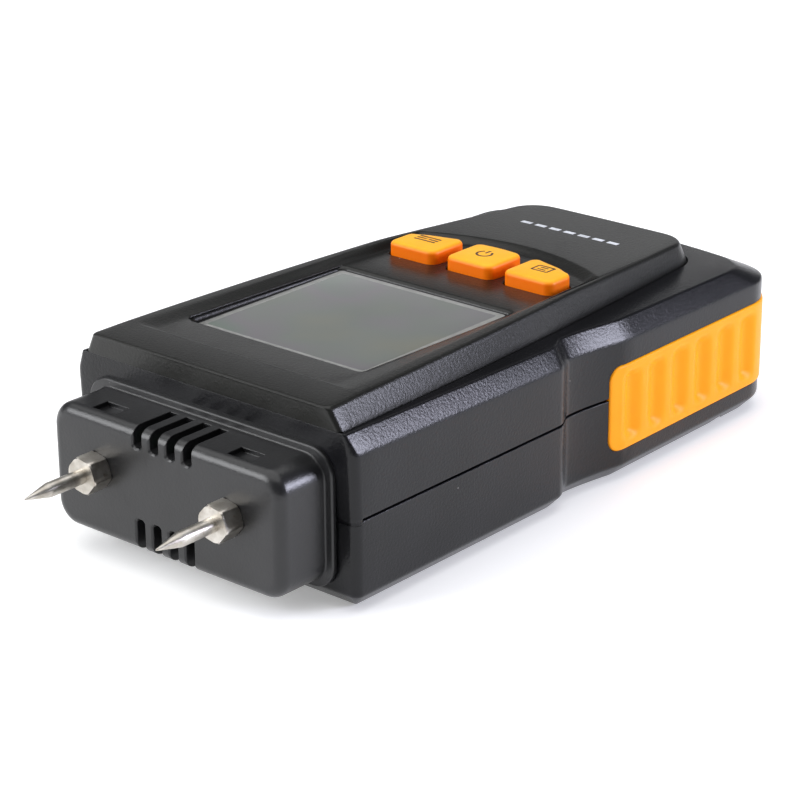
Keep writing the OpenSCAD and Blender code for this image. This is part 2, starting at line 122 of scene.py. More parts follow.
# Face panel
PANEL_TOP = 33.05
PANEL_FRONT = 0.8
PANEL_BACK = -104.9
PANEL_HALF_W = 27.3
PANEL_LEAN = 2
PANEL_REAR_LEAN = 1.4
PANEL_TAPER = 0.04
PANEL_TAPER_LESS = 0.02
PANEL_BOW = 0.00042
PANEL_BOW_MORE = 0.00013
PANEL_FRONT_R = 1.0
PANEL_REAR_R = 6.6
PANEL_REAR_R_LESS = 0.8
DECK_Y = -65.0
DECK_SLOPE = math.tan(math.radians(2.3))
DISH_FRONT = -7.5
DISH_HALF = 18.9
DISH_Z = 32.75
DISH_FALL = 0.0176
RISER_Y = -76.5
RISER_RUN = 3.0
RISER_BOW = 0.0148
DISH_FLARE_FRONT = 4.6
DISH_FLARE_BACK = 1.0
DISH_SIDE_END = -71.3
DISH_FRONT_RUN = 0.9
DISH_END_RUN = 2.6
DISH_R = 1.2
PANEL_UNDER_Z = 28.9
HOLE_LOW_Z = 29.3

# Window and keys
WINDOW_Y = (WINDOW_LOW[1] + WINDOW_HIGH[1]) / 2 - FRONT_Y
WINDOW_HALF_W = 18.5
WINDOW_HALF_L = 18.1
WINDOW_R = 1.1
WINDOW_LIP = 1.0
WINDOW_GAP = 0.35
KEY_FRONT = -62.5
KEY_BACK = -72.2
KEY_GAP = 0.3
KEY_LIP = 0.3
KEY_EDGE = 0.75
KEY_EDGE_DROP = 0.95
KEY_EDGE_RISE = 0.8
KEY_SKIRT = 0.85
KEY_NAMES = ("set_key", "power_key", "menu_key")
KEY_SPANS = [(node_box(k)[0][0] + 0.9, node_box(k)[1][0] - 0.9) for k in KEY_NAMES]

# Grips
FLUTES = 6
FLUTE_PITCH = 7.0
FLUTE_DEPTH = 1.05
FLUTE_HALF = 3.1
FLUTE_FIRST = 5.6
FLUTE_END = 1.1
FLUTE_FADE = 2.0
GRIP_SWELL = 0.3
GRIP_RIM = 0.6
GRIP_FRONT = -64.5
GRIP_LEN_MAX = 54.0
GRIP_REAR_GAP = 12
GRIP_CORNER = 2.6
GRIP_DEPTH = 1.35
POCKET_DEPTH = 1.4
POCKET_MARGIN = 0.06

# Sensor head
HEAD_HALF_W = 24.75
HEAD_LOW_Z = 3.9
HEAD_TOP_Z = 24.8
HEAD_R = 4.0
HEAD_FRONT_R = 2.0
FLANGE_R = 4.4
FLANGE_OUT = 1.15
FLANGE_EDGE = 0.3
FLANGE_FILLET = 0.25
SLOT_XS = (-5.37, -1.79, 1.79, 5.37)
SLOT_TOP_Z = 21.4
SLOT_LOW_Z = 9.4
SLOT_BACK_Y = 2.4
SLOT_HALF_W = 0.9
SLOT_FLARE = 0.28
DETENT_X = 14.6

# Pins
HEX_R = 5.5 / math.sqrt(3)
HEX_LEN = 3.7
HEX_TURN = 11.0
NEEDLE_R = 1.2
POINT_LEN = 4.8
STUD_R = 1.45

# Camera: degrees, a target in millimetres, a distance in metres
CAMERA_AZIMUTH = 220.736
CAMERA_ELEVATION = 21.493
CAMERA_ROLL = -0.329
CAMERA_TARGET = (12.973, -60.0 + FRONT_Y, 6.163)
CAMERA_DISTANCE = 0.458891
SENSOR = 36.0
FOCAL_PER_WIDTH = 3.2503125

# Stage, in metres
FLOOR_HALF = 6.0
FLOOR_Z = -0.00005
LIGHT_AIM = Vector((0, 0, 0.015))

# Printed marks
PRINT_RISE = 0.03
DASHES = 7
DASH_PITCH = 3.2
DASH_HALF = 1.1
DASH_WIDE = 1.1
DASH_Y = -91.5


# ---------- outlines ----------

def arc(cx, cy, r, a0, a1, n):
    """n points of a circular arc between two angles in degrees."""
    a = np.radians(np.linspace(a0, a1, n))
    return np.stack([cx + r * np.cos(a), cy + r * np.sin(a)], 1)


def line(p, q, n):
    """n points from p towards q, without q."""
    t = np.linspace(0, 1, n, endpoint=False)[:, None]
    return np.array(p) * (1 - t) + np.array(q) * t


def whole(half):
    """Closed loop from one half that starts and ends on x = 0."""
    back = half[-2:0:-1] * [-1, 1]
    return np.vstack([half, back])


def case_outline(inset=0.0, tail=0.0, front_in=None):
    """Loop of the case outline moved inwards, its front by front_in and its rear end by tail more."""
    y = -(inset if front_in is None else front_in)
    r = max(0.3, FRONT_R - 0.55 * abs(inset))
    x = HALF_W - inset
    front = line([0, y], [x - r, y], 10)
    corner = arc(x - r, y - r, r, 90, 0, 7)
    side = line([x, y - r], [x, STEP_Y], 16)[1:]
    t = np.linspace(0, 1, 15)
    step = np.stack([HALF_W - STEP_IN * (1 - np.cos(np.pi * t)) / 2 - inset, STEP_Y - STEP_LEN * t], 1)
    y1 = STEP_Y - STEP_LEN
    flare = np.stack([
        HALF_W - STEP_IN + (STEP_IN - HANDLE_IN) * (1 - np.cos(np.pi / 2 * t[1:])) - inset,
        y1 + (HANDLE_Y - y1) * t[1:]], 1)
    tail_x = HALF_W - TAIL_IN
    reach = math.sqrt((REAR_ARC_R - REAR_R) ** 2 - (tail_x - REAR_R) ** 2)
    corner_y = BACK_Y + REAR_ARC_R - reach
    end = -math.degrees(math.atan2(reach, tail_x - REAR_R))
    handle = line([HALF_W - HANDLE_IN - inset, HANDLE_Y], [tail_x - inset, corner_y + tail], 12)[1:]
    rear_corner = arc(tail_x - REAR_R, corner_y + tail, REAR_R - inset, 0, end, 18)
    rear = arc(0, BACK_Y + tail + REAR_ARC_R, REAR_ARC_R - inset, end, -90, 12)[1:]
    return whole(np.vstack([front, corner, side, step, flare, handle, rear_corner, rear]))


def panel_x(y, k):
    """Half width of the panel at y, at its foot (k = 0) or its top edge (k = 1)."""
    y = np.abs(y)
    taper = PANEL_TAPER_LESS * k - PANEL_TAPER
    bow = PANEL_BOW + PANEL_BOW_MORE * k
    return PANEL_HALF_W - PANEL_LEAN * k + taper * y - bow * y * y


def panel_outline(k, grow=0.0):
    """Loop of the panel outline: k is 0 at the foot and 1 at the top edge."""
    back = PANEL_BACK + PANEL_REAR_LEAN * k - grow
    r = PANEL_REAR_R - PANEL_REAR_R_LESS * k + grow
    rf = PANEL_FRONT_R
    yc = back + r
    front_y = FRONT_LEAN + (PANEL_FRONT + 0.1 - FRONT_LEAN) * k + grow
    xf = panel_x(0, k) + grow
    front = line([0, front_y], [xf - rf, front_y], 12)
    corner = arc(xf - rf, front_y - rf, rf, 90, 0, 6)
    y = np.linspace(front_y - rf, yc, 52)[1:-1]
    side = np.stack([panel_x(y, k) + grow, y], 1)
    xc = panel_x(yc, k) + grow - r
    rear_corner = arc(xc, yc, r, -4, -88, 12)
    rear = line([xc, back - 0.05], [0, back - 0.15], 12)[1:]
    return whole(np.vstack([front, corner, side, rear_corner, rear, [[0, back - 0.15]]]))


def dish_outline(k):
    """Loop round the dish, matching panel_outline: k is 0 on its floor and 1 at its rim."""
    xf = DISH_HALF + DISH_FLARE_FRONT * k
    yf = DISH_FRONT + DISH_FRONT_RUN * k
    xb = DISH_HALF + DISH_FLARE_BACK * k
    y_back = DISH_SIDE_END - DISH_END_RUN * k
    riser = RISER_Y - RISER_RUN * k
    r = DISH_R
    front = line([0, yf], [xf - r, yf], 12)
    corner = arc(xf - r, yf - r, r, 90, 0, 6)
    y = np.linspace(yf - r, y_back, 52)[1:-1]
    t = (y - yf) / (y_back - yf)
    side = np.stack([xf + (xb - xf) * t, y], 1)
    x = np.linspace(xb - 0.15, xb - 2.2, 12)
    edge = riser + RISER_BOW * x * x
    t = np.linspace(0, 1, 12)
    rear_corner = np.stack([x, y_back * (1 - t) ** 2 + edge * (1 - (1 - t) ** 2)], 1)
    x = np.linspace(xb - 2.2, 0, 13)[1:]
    rear = np.stack([x, riser + RISER_BOW * x * x], 1)
    return whole(np.vstack([front, corner, side, rear_corner, rear]))


def rounded_rect(w, h, r, n=8):
    """Loop of a rounded rectangle about the origin, w and h its half sizes."""
    corners = [(w - r, h - r, 0), (r - w, h - r, 90), (r - w, r - h, 180), (w - r, r - h, 270)]
    return np.vstack([arc(x, y, r, a, a + 90, n) for x, y, a in corners])


def key_back_y(x):
    """Rear edge of the keys at x, a shallow arc along the riser."""
    return KEY_BACK + x * x / 98


def key_outline(x0, x1, grow):
    """Loop of a key whose rear edge follows the riser."""
    x0, x1, r = x0 - grow, x1 + grow, 1.6 + grow
    y1 = KEY_FRONT + grow
    x = np.linspace(x0, x1, 10)[1:-1]
    rear = np.stack([x, key_back_y(x) - grow], 1)[2:-2]
    return np.vstack([
        arc(x1 - r, y1 - r, r, 0, 90, 7), arc(x0 + r, y1 - r, r, 90, 180, 7),
        arc(x0 + r, key_back_y(x0) - grow + r, r, 180, 265, 7), rear,
        arc(x1 - r, key_back_y(x1) - grow + r, r, 275, 360, 7)])


# ---------- mesh helpers ----------

def lift(loop, z, slope=0.0):
    """3D ring from a loop at height z, which changes by slope for each millimetre of y."""
    return np.column_stack([loop, z + slope * loop[:, 1]])


def xz_ring(loop, y, zc):
    """3D ring in a plane across y from a loop of (x, z) about height zc."""
    return np.column_stack([loop[:, 0], np.full(len(loop), y), loop[:, 1] + zc])


def bridge(count, rings, around=False):
    """Quads between rings of count points each, and from the last ring to the first if around."""
    faces = []
    last = rings if around else rings - 1
    for k in range(last):
        a, b = k * count, ((k + 1) % rings) * count
        for i in range(count):
            j = (i + 1) % count
            faces.append((a + i, a + j, b + j, b + i))
    return faces


def loft(rings, caps=True, around=False):
    """Points and faces of a surface through rings of equal length."""
    n = len(rings[0])
    faces = bridge(n, len(rings), around)
    if caps and not around:
        faces.append(tuple(range(n - 1, -1, -1)))
        faces.append(tuple(range((len(rings) - 1) * n, len(rings) * n)))
    return np.vstack(rings), faces


def join(*parts):
    """One (points, faces) pair out of several."""
    points, faces, base = [], [], 0
    for p, f in parts:
        points.append(p)
        faces += [tuple(i + base for i in face) for face in f]
        base += len(p)
    return np.vstack(points), faces


def build_mesh(name, points, faces):
    """Blender mesh from points in case coordinates, with its faces turned outwards."""
    rows = (np.asarray(points, float) + [0, FRONT_Y, 0]) * MM
    mesh = bpy.data.meshes.new(name)
    mesh.from_pydata(rows.tolist(), [], faces)
    bm = bmesh.new()
    bm.from_mesh(mesh)
    bmesh.ops.remove_doubles(bm, verts=bm.verts, dist=2e-7)
    bmesh.ops.recalc_face_normals(bm, faces=bm.faces)
    bm.to_mesh(mesh)
    bm.free()
    return mesh


def add_piece(name, points, faces, body, material, slot, stands_for=(), sharp=38):
    """Object that rides on body, shaded smooth apart from edges sharper than the angle."""
    obj = bpy.data.objects.new(name, build_mesh(name, points, faces))
    bpy.context.scene.collection.objects.link(obj)
    obj.data.materials.append(material)
    smooth(obj, sharp)
    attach(obj, body)
    if stands_for:
        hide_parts(*stands_for)
    return obj


def smooth(obj, sharp):
    """Smooth shading apart from edges sharper than the angle."""
    obj.data.shade_smooth()
    obj.data.set_sharp_from_angle(angle=math.radians(sharp))


def carve(obj, points, faces, sharp=38, operation="DIFFERENCE"):
    """Cuts a closed shape out of obj's mesh, or with INTERSECT keeps only what it shares."""
    cutter = bpy.data.objects.new("cutter", build_mesh("cutter", points, faces))
    bpy.context.scene.collection.objects.link(cutter)
    mod = obj.modifiers.new("cut", "BOOLEAN")
    mod.operation = operation
    mod.solver = "EXACT"
    mod.use_self = True
    mod.object = cutter
    bpy.context.view_layer.update()
    cut = bpy.data.meshes.new_from_object(obj.evaluated_get(bpy.context.evaluated_depsgraph_get()))
    obj.modifiers.clear()
    obj.data = cut
    bpy.data.objects.remove(cutter)
    smooth(obj, sharp)


def block(x0, x1, y0, y1, z0, z1):
    """Points and faces of a box."""
    loop = np.array([[x0, y0], [x1, y0], [x1, y1], [x0, y1]], float)
    return loft([lift(loop, z0), lift(loop, z1)])


def flat_fill(loops, height):
    """Triangles of a region with holes: 2D loops, the outer one first, lifted by height(x, y)."""
    bm = bmesh.new()
    edges = []
    for loop in loops:
        verts = [bm.verts.new((x, y, 0)) for x, y in loop]
        edges += [bm.edges.new((verts[i], verts[(i + 1) % len(verts)])) for i in range(len(verts))]
    bmesh.ops.triangle_fill(bm, use_beauty=True, edges=edges, normal=(0, 0, 1))
    bm.verts.index_update()
    points = np.array([[v.co.x, v.co.y, height(v.co.x, v.co.y)] for v in bm.verts])
    faces = [tuple(v.index for v in f.verts) for f in bm.faces]
    bm.free()
    return points, faces


# ---------- material helpers ----------

class Nodes:
    """Short way to build a node tree round one Principled shader."""

    def __init__(self, name):
        self.material = bpy.data.materials.new(name)
        self.material.use_nodes = True
        self.tree = self.material.node_tree
        self.shader = self.tree.nodes["Principled BSDF"]
        self.place = self.add("ShaderNodeTexCoord").outputs["Object"]

    def add(self, kind, **values):
        """New node with values for its sockets or its own settings."""
        node = self.tree.nodes.new(kind)
        for key, value in values.items():
            if key in node.inputs:
                node.inputs[key].default_value = value
            else:
                setattr(node, key, value)
        return node

    def link(self, a, b):
        """Joins an output to an input."""
        self.tree.links.new(a, b)

    def noise(self, scale, detail=2.0, rough=0.5, stretch=None):
        """Noise in object space, per metre, stretched along the axes if asked."""
        node = self.add("ShaderNodeTexNoise", Scale=scale, Detail=detail, Roughness=rough)
        source = self.place
        if stretch:
            mapping = self.add("ShaderNodeMapping", Scale=stretch)
            self.link(source, mapping.inputs["Vector"])
            source = mapping.outputs["Vector"]
        self.link(source, node.inputs["Vector"])
        return node.outputs["Fac"]

    def ramp(self, factor, stops):
        """Colour ramp with (place, colour) stops."""
        node = self.add("ShaderNodeValToRGB")
        ramp = node.color_ramp
        while len(ramp.elements) < len(stops):
            ramp.elements.new(0.5)
        for element, (place, colour) in zip(ramp.elements, stops):
            element.position = place
            element.color = (*colour, 1)
        self.link(factor, node.inputs["Fac"])
        return node.outputs["Color"]

    def range(self, factor, low, high, start=0.0, end=1.0):
        """Maps start..end to low..high."""
        node = self.add("ShaderNodeMapRange")
        for name, value in zip(("From Min", "From Max", "To Min", "To Max"), (start, end, low, high)):
            node.inputs[name].default_value = value
        self.link(factor, node.inputs["Value"])
        return node.outputs["Result"]

    def mix(self, factor, a, b):
        """Mix of two colours."""
        node = self.add("ShaderNodeMix", data_type="RGBA")
        for socket, value in ((node.inputs[0], factor), (node.inputs[6], a), (node.inputs[7], b)):
            if isinstance(value, bpy.types.NodeSocket):
                self.link(value, socket)
            else:
                socket.default_value = value if isinstance(value, float) else (*value, 1)
        return node.outputs[2]

    def bump(self, height, distance, strength=1.0, over=None):
        """Normal bumped by height, on top of another normal if given."""
        node = self.add("ShaderNodeBump", Strength=strength, Distance=distance)
        self.link(height, node.inputs["Height"])
        if over is not None:
            self.link(over, node.inputs["Normal"])
        return node.outputs["Normal"]

    def specks(self, scale, size, patch_scale, patch_level):
        """1 on small dust specks inside some patches, 0 elsewhere."""
        cells = self.add("ShaderNodeTexVoronoi", Scale=scale)
        self.link(self.place, cells.inputs["Vector"])
        near = self.range(cells.outputs["Distance"], 1.0, 0.0, 0.75 * size, 1.25 * size)
        some = self.range(self.noise(patch_scale, 1), 0.0, 1.0, patch_level, patch_level + 0.02)
        both = self.add("ShaderNodeMath", operation="MULTIPLY")
        self.link(near, both.inputs[0])
        self.link(some, both.inputs[1])
        return both.outputs[0]

    def soft_edges(self, radius):
        """Normals rounded over the edges."""
        return self.add("ShaderNodeBevel", samples=4, Radius=radius).outputs["Normal"]

    def set(self, **values):
        """Sets or links the shader's sockets, with _ for a space in their names."""
        for key, value in values.items():
            socket = self.shader.inputs[key.replace("_", " ")]
            if isinstance(value, bpy.types.NodeSocket):
                self.link(value, socket)
            elif isinstance(value, tuple) and len(value) == 3 and len(socket.default_value) == 4:
                socket.default_value = (*value, 1)
            else:
                socket.default_value = value


def moulded_plastic(name, dark, light, rough, grain=0.0005, depth=0.00005, edge=0.00012, shine=0.3):
    """Spark-textured plastic: fine pits, patchy gloss and a few specks of dust."""
    m = Nodes(name)
    patch = m.noise(90, 3)
    colour = m.ramp(patch, [(0.3, dark), (0.75, light)])
    colour = m.mix(m.specks(420.0, 0.048, 160, 0.66), colour, (0.35, 0.34, 0.32))
    pits = m.noise(1 / grain, 3, 0.6)
    gloss = m.range(m.noise(2600, 2), rough - 0.015, rough + 0.02, 0.3, 0.7)
    m.set(Base_Color=colour, Roughness=gloss, IOR=1.5, Specular_IOR_Level=shine,
          Normal=m.bump(pits, depth, 1.0, m.soft_edges(edge)))
    return m.material


def orange_rubber(name, side, top, rough=0.42):
    """Silicone rubber with a painted sheen that makes faces looking up paler, plus fine grain and a little
    body glow.
    """
    m = Nodes(name)
    normal = m.add("ShaderNodeNewGeometry").outputs["Normal"]
    parts = m.add("ShaderNodeSeparateXYZ")
    m.link(normal, parts.inputs[0])
    # Painted sheen: faces that look up get the paler top colour, as if lit from above.
    up = m.range(parts.outputs["Z"], 0.0, 1.0, 0.15, 0.95)
    colour = m.mix(up, side, top)
    patch = m.range(m.noise(220, 3), 0.0, 0.15, 0.3, 0.7)
    colour = m.mix(patch, colour, tuple(c * 0.8 for c in side))
    grain = m.noise(5200, 2, 0.6)
    m.set(Base_Color=colour, Roughness=m.range(m.noise(700, 3), rough - 0.05, rough + 0.07),
          Normal=m.bump(grain, 0.000006), IOR=1.42, Specular_IOR_Level=0.3, Subsurface_Weight=0.12,
          Subsurface_Radius=(0.0012, 0.0004, 0.0001), Subsurface_Scale=1.0)
    return m.material


def turned_steel(name):
    """Nickel-plated steel with tool marks round the pin's axis."""
    m = Nodes(name)
    marks = m.noise(900, 4, 0.7, (0.25, 3.0, 0.25))
    rings = m.noise(380, 2, 0.5, (1.0, 9.0, 1.0))
    warm = m.ramp(m.noise(500, 3), [(0.3, (0.40, 0.37, 0.32)), (0.7, (0.64, 0.61, 0.56))])
    stain = m.range(m.noise(1300, 2), 0.0, 0.5, 0.58, 0.75)
    colour = m.mix(stain, warm, (0.33, 0.26, 0.19))
    m.set(Base_Color=colour, Metallic=1.0, Roughness=m.range(marks, 0.26, 0.44),
          Normal=m.bump(rings, 0.000012, 1.0, m.bump(marks, 0.000006)))
    return m.material


def display_glass(name):
    """Polariser glass over the display: grey-green, glossy, with a faint oily tint and dust."""
    m = Nodes(name)
    tint = m.ramp(m.noise(38, 2), [
        (0.30, (0.176, 0.178, 0.145)), (0.42, (0.158, 0.170, 0.152)), (0.52, (0.168, 0.160, 0.164)),
        (0.62, (0.142, 0.168, 0.144)), (0.75, (0.178, 0.172, 0.136))])
    dust = m.specks(260.0, 0.03, 120, 0.62)
    m.set(Base_Color=m.mix(dust, tint, (0.7, 0.7, 0.66)), IOR=1.5,
          Roughness=m.range(m.noise(60, 4), 0.06, 0.16), Coat_Weight=0.35, Coat_Roughness=0.04)
    return m.material


def plain(name, colour, rough, metal=0.0, scale=600.0, spread=0.15, depth=0.00001):
    """Simple finish with patchy colour, patchy gloss and a fine grain."""
    m = Nodes(name)
    low, high = (tuple(c * k for c in colour) for k in (1 - spread, 1 + spread))
    grain = m.noise(scale, 3)
    m.set(Base_Color=m.ramp(grain, [(0.3, low), (0.7, high)]), Metallic=metal,
          Roughness=m.range(m.noise(scale * 2, 2), rough * 0.85, rough * 1.15),
          Normal=m.bump(grain, depth))
    return m.material


CASE = moulded_plastic("case_black", (0.004, 0.004, 0.0048), (0.008, 0.008, 0.0094), 0.25)
PANEL = moulded_plastic("panel_black", (0.0065, 0.0065, 0.0055), (0.011, 0.011, 0.0092), 0.3, shine=0.34)
HEAD = moulded_plastic("head_black", (0.007, 0.007, 0.0075), (0.012, 0.012, 0.013), 0.3,
                       depth=0.00003, edge=0.00028, shine=0.52)
# Key and grip rubber: the second colour, on faces that look up, is a painted sheen.
KEYS = orange_rubber("key_orange", (1.0, 0.19, 0.0), (1.0, 0.47, 0.022))
GRIPS = orange_rubber("grip_orange", (1.0, 0.34, 0.0), (1.0, 0.40, 0.002))
STEEL = turned_steel("pin_metal")
GLASS = display_glass("display_grey")
BORDER = plain("display_border_grey", (0.25, 0.25, 0.235), 0.18)
PRINT = plain("print_brown", (0.055, 0.022, 0.012), 0.55)
WHITE_PRINT = plain("print_white", (0.62, 0.64, 0.68), 0.5)
# Black band on the glass's outer edge: painted shade that stands in for the dark gap between glass and
# panel.
PAINTED_GAP_SHADE = plain("painted_gap_shade", (0.002, 0.002, 0.002), 0.9)


# ---------- shells ----------

def corner_path(a, b, c, r, n=5):
    """Points of a soft corner at b between a and c, r back along each leg."""
    a, b, c = (np.array(p, float) for p in (a, b, c))
    p = b + (a - b) * r / np.linalg.norm(a - b)
    q = b + (c - b) * r / np.linalg.norm(c - b)
    t = np.linspace(0, 1, n)[:, None]
    return (1 - t) ** 2 * p + 2 * t * (1 - t) * b + t ** 2 * q


def upper_shell():
    """Upper shell: joint lip, wall, side bevel, ridge, ledge and the seat of the face panel."""
    joint = JOINT_Z + JOINT_GAP
    wall = [(LIP_IN, joint), (EDGE_IN, joint), (0.0, joint + EDGE_RISE)]
    wall += [(0.0, z) for z in UPPER_HEIGHTS]
    turn = corner_path((0, UPPER_HEIGHTS[-1]), (0, BEVEL_Z), (BEVEL_IN, RIDGE_Z), 0.6, 5)
    ridge = corner_path((0, BEVEL_Z), (BEVEL_IN, RIDGE_Z), (BEVEL_IN + 2, RIDGE_Z), 0.38, 6)
    rings = []
    for inset, z in [*wall, *turn, *ridge]:
        share = max(0.0, (z - BEVEL_Z) / (RIDGE_Z - BEVEL_Z))
        slope = FALL * min(1.0, max(0.0, (z - JOINT_Z) / (BEVEL_Z - JOINT_Z)))
        front_in = min(inset, 0.4) if z < UPPER_HEIGHTS[0] else 0.0
        rings.append(lean(lift(case_outline(inset, TAIL_SLOPE * share, front_in), z, slope)))
    return rings


def lean(ring):
    """Tilts the front of a ring forward with height, so that the front face meets the panel's."""
    near = np.clip((ring[:, 1] + 3) / 2, 0, 1)
    ring[:, 1] += near * FRONT_LEAN * np.clip((ring[:, 2] - JOINT_Z) / (RIDGE_Z - JOINT_Z), 0, 1)
    return ring


def cut_grip_pockets(shell):
    """Pockets for the two grip inserts, a little deeper than the inserts."""
    for side in (-1, 1):
        carve(shell, *grip_grid(side, 60, 8, POCKET_DEPTH, POCKET_MARGIN, lambda s, z, reach: 3.0))


def add_upper_shell():
    """Upper shell, closed inside by a roof, a wall and the joint face."""
    outer = upper_shell()
    ledge = case_outline(BEVEL_IN, TAIL_SLOPE, 0.0)
    seat = matched(panel_outline(0, PANEL_GAP), ledge)
    seat[:, 1] = np.minimum(seat[:, 1], FRONT_LEAN - 0.25)
    inner = matched(panel_outline(0, -2.5), ledge)
    rings = [*outer,
             lift(seat, RIDGE_Z, FALL), lift(seat, RIDGE_Z - SEAT_DEPTH, FALL),
             lift(inner, RIDGE_Z - SEAT_DEPTH, FALL), lift(inner, ROOF_Z),
             lift(case_outline(WALL + BEVEL_IN, TAIL_SLOPE), ROOF_Z - 0.3, 0.02),
             lift(case_outline(WALL), 22.0), lift(case_outline(WALL), JOINT_Z + JOINT_GAP)]
    points, faces = loft(rings, around=True)
    shell = add_piece("upper_shell", points, faces, "case", CASE, "case_plastic", ["front_housing"])
    cut_grip_pockets(shell)


def matched(loop, like):
    """One loop resampled to as many points as another, each at the place nearest to its match."""
    half = loop[:len(loop) // 2 + 1]
    near = like[:len(like) // 2 + 1]
    scale = np.array([half[:, 0].max() / near[:, 0].max(), half[:, 1].min() / near[:, 1].min()])
    steps = np.concatenate([[0], np.cumsum(np.linalg.norm(np.diff(half, axis=0), axis=1))])
    fine = np.linspace(0, steps[-1], 1500)
    dense = np.stack([np.interp(fine, steps, half[:, i]) for i in (0, 1)], 1)
    picks = np.maximum.accumulate([np.argmin(((dense - p) ** 2).sum(1)) for p in near * scale])
    picks[0], picks[-1] = 0, len(dense) - 1
    return whole(dense[picks])


def lower_shell():
    """Rings of the lower shell: joint lip, wall, base bevel and base."""
    joint = JOINT_Z - JOINT_GAP
    base = corner_path((0, LOWER_TURN_Z), (0, BASE_BEVEL), (BASE_BEVEL, 0), 0.5, 4)
    foot = corner_path((0, BASE_BEVEL), (BASE_BEVEL, 0), (BASE_BEVEL + 4, 0), 0.6, 5)
    wall = [(WALL, joint), (EDGE_IN, joint), (0.0, joint - EDGE_RISE)]
    wall += [(0.0, z) for z in LOWER_HEIGHTS]
    rings = [lift(case_outline(i), z) for i, z in [*wall, *base, *foot]]
    rings.append(lift(case_outline(BASE_BEVEL + 3), 0.0))
    return rings


def front_cavity():
    """Hollow of the lower shell ahead of the battery bay."""
    inside = loft([lift(case_outline(WALL + 2.4), WALL), lift(case_outline(WALL + 0.2), WALL + 3),
                   lift(case_outline(WALL + 0.2), 30)])
    hollow = bpy.data.objects.new("hollow", build_mesh("hollow", *inside))
    bpy.context.scene.collection.objects.link(hollow)
    carve(hollow, *block(-50, 50, -48, 20, WALL, 30), operation="INTERSECT")
    rows = np.array([v.co for v in hollow.data.vertices]) / MM - [0, FRONT_Y, 0]
    faces = [tuple(p.vertices) for p in hollow.data.polygons]
    bpy.data.objects.remove(hollow)
    return rows, faces


def screw_holes():
    """Counterbores of the four case screws."""
    circle = arc(0, 0, SCREW_HOLE_R, 0, 345, 24)
    return join(*[loft([lift(circle + place, -1), lift(circle + place, 2.9)]) for place in SCREW_PLACES])


def add_lower_shell():
    """Lower shell, opened for the board, the cover, its rails, the battery bay and the screws."""
    points, faces = loft(lower_shell())
    shell = add_piece("lower_shell", points, faces, "case", CASE, "case_plastic", ["rear_housing"])
    low, high = node_box("battery_cover")
    x0, x1, y1 = low[0], high[0], high[1] - FRONT_Y + 0.2
    carve(shell, *front_cavity())
    carve(shell, *block(x0 + 1.3, x1 - 1.3, -200, y1, -5, 1.9))
    carve(shell, *block(x0 - 0.2, x1 + 0.2, -200, y1, 1.6, 3.0))
    carve(shell, *block(*BATTERY_BAY))
    carve(shell, *screw_holes())
    cut_grip_pockets(shell)


# ---------- face panel ----------

def top_z(y):
    """Height of the panel's upper surface before the dish is sunk into it."""
    y = np.asarray(y, float)
    soft = 3.0
    past = DECK_Y - y
    drop = np.where(past > soft, past, np.where(past > -soft, (past + soft) ** 2 / (4 * soft), 0))
    front = np.clip((y - DISH_FRONT - DISH_FRONT_RUN) / 7, 0, 1) * 0.1
    return PANEL_TOP - DECK_SLOPE * drop - front


def floor_z(y):
    """Height of the dish floor."""
    return DISH_Z + DISH_FALL * (y - DISH_FRONT)


def window_loop(grow):
    """Loop of the window moved outwards by grow."""
    r = WINDOW_R + max(grow, -0.6)
    loop = rounded_rect(WINDOW_HALF_W + grow, WINDOW_HALF_L + grow, r, 7)
    return loop + [0, WINDOW_Y]


def hole_walls(outline, lip, low, growth):
    """Rings of a hole's soft lip and wall, from the dish floor down to height low."""
    rings = []
    for t in np.linspace(0, math.pi / 2, 5):
        loop = outline(growth + lip * (1 - math.sin(t)))
        rings.append(np.column_stack([loop, floor_z(loop[:, 1]) - lip * (1 - math.cos(t))]))
    rings.append(lift(outline(growth), low))
    return rings


def panel_skin():
    """Rings of the panel from its underside up the flank, over the rim and down into the dish."""
    foot = panel_outline(0)
    inner = panel_outline(0, -0.4)
    inner[:, 1] = np.minimum(inner[:, 1], FRONT_LEAN - 0.4)
    low_foot = lift(foot, RIDGE_Z - 0.3, FALL)
    low_foot[:, 2] += 0.33 * np.clip((foot[:, 1] + 0.8) / 0.6, 0, 1)
    rings = [lift(panel_outline(0, -2.0), PANEL_UNDER_Z, FALL), lift(inner, PANEL_UNDER_Z, FALL),
             lift(inner, RIDGE_Z - 0.45, FALL), low_foot, lift(panel_outline(0.03), RIDGE_Z + 0.15, FALL)]
    for k in (0.3, 0.6, 0.82, 0.9):
        loop = panel_outline(k)
        low = RIDGE_Z + 0.05 + FALL * loop[:, 1]
        rings.append(np.column_stack([loop, low + (top_z(loop[:, 1]) - low) * k]))
    for step, drop in ((0.0, 0.22), (0.12, 0.10), (0.32, 0.025), (0.6, 0.0)):
        loop = panel_outline(1, -step)
        rings.append(np.column_stack([loop, top_z(loop[:, 1]) - drop]))
    for k in (1.0, 0.93, 0.8, 0.5, 0.2, 0.07, 0.0):
        loop = dish_outline(k)
        rise = 3 * k * k - 2 * k ** 3
        z = floor_z(loop[:, 1]) * (1 - rise) + top_z(loop[:, 1]) * rise
        rings.append(np.column_stack([loop, z]))
    return rings


